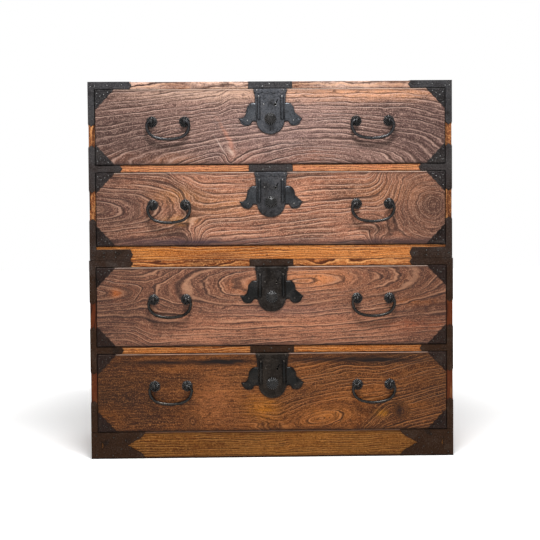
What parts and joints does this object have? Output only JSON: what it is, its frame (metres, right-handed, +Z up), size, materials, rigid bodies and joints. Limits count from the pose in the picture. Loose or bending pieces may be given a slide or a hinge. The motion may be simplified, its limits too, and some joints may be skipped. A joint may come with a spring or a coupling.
{
  "type": "isho clothing chest",
  "caption": "Two-section wooden clothing chest with full-width drawers, push-button iron locks, drop handles and iron corner straps, on a plinth.",
  "frame": {"origin": "on the floor, in the middle of the box that the closed chest with its handles fills", "axes": "+Z up; the drawers open toward -Y; +X is to the right of someone facing the chest"},
  "size_m": [0.9704, 0.4492, 1.0038],
  "materials": {
    "keyaki_front": "oiled hardwood with raised grain, worn, red-brown with golden patches",
    "rail_wood": "oiled softwood, orange-brown, straight grain",
    "case_wood": "oiled softwood boards, mid brown",
    "inner_wood": "bare pale softwood, unfinished",
    "black_iron": "forged sheet and bar iron, blackened, satin with worn edges"
  },
  "bodies": {
    "case": {"upper_case_top": "case_wood", "upper_case_sides": "case_wood", "upper_case_bottom": "inner_wood", "lower_case_top": "case_wood", "lower_case_sides": "case_wood", "lower_case_bottom": "inner_wood", "front_rails": "rail_wood", "drawer_runners": "inner_wood", "back_boards": "inner_wood", "plinth": "rail_wood", "case_irons": "black_iron", "strike_plates": "black_iron"},
    "drawer_1": {"drawer_1_front": "keyaki_front", "drawer_1_sides": "inner_wood", "drawer_1_back": "inner_wood", "drawer_1_bottom": "inner_wood", "drawer_1_corner_irons": "black_iron", "drawer_1_lock_plate": "black_iron", "drawer_1_lock_case": "black_iron", "drawer_1_handle_posts": "black_iron"},
    "drawer_1_left_handle": {"drawer_1_left_bail": "black_iron"},
    "drawer_1_right_handle": {"drawer_1_right_bail": "black_iron"},
    "drawer_1_button": {"drawer_1_lock_button": "black_iron"},
    "drawer_1_bolt": {"drawer_1_lock_bolt": "black_iron"},
    "drawer_2": {"drawer_2_front": "keyaki_front", "drawer_2_sides": "inner_wood", "drawer_2_back": "inner_wood", "drawer_2_bottom": "inner_wood", "drawer_2_corner_irons": "black_iron", "drawer_2_lock_plate": "black_iron", "drawer_2_lock_case": "black_iron", "drawer_2_handle_posts": "black_iron"},
    "drawer_2_left_handle": {"drawer_2_left_bail": "black_iron"},
    "drawer_2_right_handle": {"drawer_2_right_bail": "black_iron"},
    "drawer_2_button": {"drawer_2_lock_button": "black_iron"},
    "drawer_2_bolt": {"drawer_2_lock_bolt": "black_iron"},
    "drawer_3": {"drawer_3_front": "keyaki_front", "drawer_3_sides": "inner_wood", "drawer_3_back": "inner_wood", "drawer_3_bottom": "inner_wood", "drawer_3_corner_irons": "black_iron", "drawer_3_lock_plate": "black_iron", "drawer_3_lock_case": "black_iron", "drawer_3_handle_posts": "black_iron"},
    "drawer_3_left_handle": {"drawer_3_left_bail": "black_iron"},
    "drawer_3_right_handle": {"drawer_3_right_bail": "black_iron"},
    "drawer_3_button": {"drawer_3_lock_button": "black_iron"},
    "drawer_3_bolt": {"drawer_3_lock_bolt": "black_iron"},
    "drawer_4": {"drawer_4_front": "keyaki_front", "drawer_4_sides": "inner_wood", "drawer_4_back": "inner_wood", "drawer_4_bottom": "inner_wood", "drawer_4_corner_irons": "black_iron", "drawer_4_lock_plate": "black_iron", "drawer_4_lock_case": "black_iron", "drawer_4_handle_posts": "black_iron"},
    "drawer_4_left_handle": {"drawer_4_left_bail": "black_iron"},
    "drawer_4_right_handle": {"drawer_4_right_bail": "black_iron"},
    "drawer_4_button": {"drawer_4_lock_button": "black_iron"},
    "drawer_4_bolt": {"drawer_4_lock_bolt": "black_iron"}
  },
  "joints": [
    {"name": "drawer_1_slide", "type": "slide", "parent": "case", "child": "drawer_1", "axis": [0, -1, 0], "range_m": [0, 0.36]},
    {"name": "drawer_1_left_handle_swing", "type": "hinge", "parent": "drawer_1", "child": "drawer_1_left_handle", "pos_m": [-0.271, -0.219, 0.8969], "axis": [-1, 0, 0], "range_deg": [-6, 170]},
    {"name": "drawer_1_right_handle_swing", "type": "hinge", "parent": "drawer_1", "child": "drawer_1_right_handle", "pos_m": [0.271, -0.219, 0.8969], "axis": [-1, 0, 0], "range_deg": [-6, 170]},
    {"name": "drawer_1_button_push", "type": "slide", "parent": "drawer_1", "child": "drawer_1_button", "axis": [0, 1, 0], "range_m": [0, 0.007], "stiffness_N_per_m": 300, "springref_m": -0.004},
    {"name": "drawer_1_bolt_lift", "type": "slide", "parent": "drawer_1", "child": "drawer_1_bolt", "axis": [0, 0, 1], "range_m": [0, 0.007]},
    {"name": "drawer_2_slide", "type": "slide", "parent": "case", "child": "drawer_2", "axis": [0, -1, 0], "range_m": [0, 0.36]},
    {"name": "drawer_2_left_handle_swing", "type": "hinge", "parent": "drawer_2", "child": "drawer_2_left_handle", "pos_m": [-0.271, -0.219, 0.677], "axis": [-1, 0, 0], "range_deg": [-6, 170]},
    {"name": "drawer_2_right_handle_swing", "type": "hinge", "parent": "drawer_2", "child": "drawer_2_right_handle", "pos_m": [0.271, -0.219, 0.677], "axis": [-1, 0, 0], "range_deg": [-6, 170]},
    {"name": "drawer_2_button_push", "type": "slide", "parent": "drawer_2", "child": "drawer_2_button", "axis": [0, 1, 0], "range_m": [0, 0.007], "stiffness_N_per_m": 300, "springref_m": -0.004},
    {"name": "drawer_2_bolt_lift", "type": "slide", "parent": "drawer_2", "child": "drawer_2_bolt", "axis": [0, 0, 1], "range_m": [0, 0.007]},
    {"name": "drawer_3_slide", "type": "slide", "parent": "case", "child": "drawer_3", "axis": [0, -1, 0], "range_m": [0, 0.36]},
    {"name": "drawer_3_left_handle_swing", "type": "hinge", "parent": "drawer_3", "child": "drawer_3_left_handle", "pos_m": [-0.271, -0.219, 0.4256], "axis": [-1, 0, 0], "range_deg": [-6, 170]},
    {"name": "drawer_3_right_handle_swing", "type": "hinge", "parent": "drawer_3", "child": "drawer_3_right_handle", "pos_m": [0.271, -0.219, 0.4256], "axis": [-1, 0, 0], "range_deg": [-6, 170]},
    {"name": "drawer_3_button_push", "type": "slide", "parent": "drawer_3", "child": "drawer_3_button", "axis": [0, 1, 0], "range_m": [0, 0.007], "stiffness_N_per_m": 300, "springref_m": -0.004},
    {"name": "drawer_3_bolt_lift", "type": "slide", "parent": "drawer_3", "child": "drawer_3_bolt", "axis": [0, 0, 1], "range_m": [0, 0.007]},
    {"name": "drawer_4_slide", "type": "slide", "parent": "case", "child": "drawer_4", "axis": [0, -1, 0], "range_m": [0, 0.36]},
    {"name": "drawer_4_left_handle_swing", "type": "hinge", "parent": "drawer_4", "child": "drawer_4_left_handle", "pos_m": [-0.271, -0.219, 0.1942], "axis": [-1, 0, 0], "range_deg": [-6, 170]},
    {"name": "drawer_4_right_handle_swing", "type": "hinge", "parent": "drawer_4", "child": "drawer_4_right_handle", "pos_m": [0.271, -0.219, 0.1942], "axis": [-1, 0, 0], "range_deg": [-6, 170]},
    {"name": "drawer_4_button_push", "type": "slide", "parent": "drawer_4", "child": "drawer_4_button", "axis": [0, 1, 0], "range_m": [0, 0.007], "stiffness_N_per_m": 300, "springref_m": -0.004},
    {"name": "drawer_4_bolt_lift", "type": "slide", "parent": "drawer_4", "child": "drawer_4_bolt", "axis": [0, 0, 1], "range_m": [0, 0.007]}
  ],
  "couplings": [
    {"joint": "drawer_1_bolt_lift", "follows": "drawer_1_button_push", "ratio": 1},
    {"joint": "drawer_2_bolt_lift", "follows": "drawer_2_button_push", "ratio": 1},
    {"joint": "drawer_3_bolt_lift", "follows": "drawer_3_button_push", "ratio": 1},
    {"joint": "drawer_4_bolt_lift", "follows": "drawer_4_button_push", "ratio": 1}
  ]
}
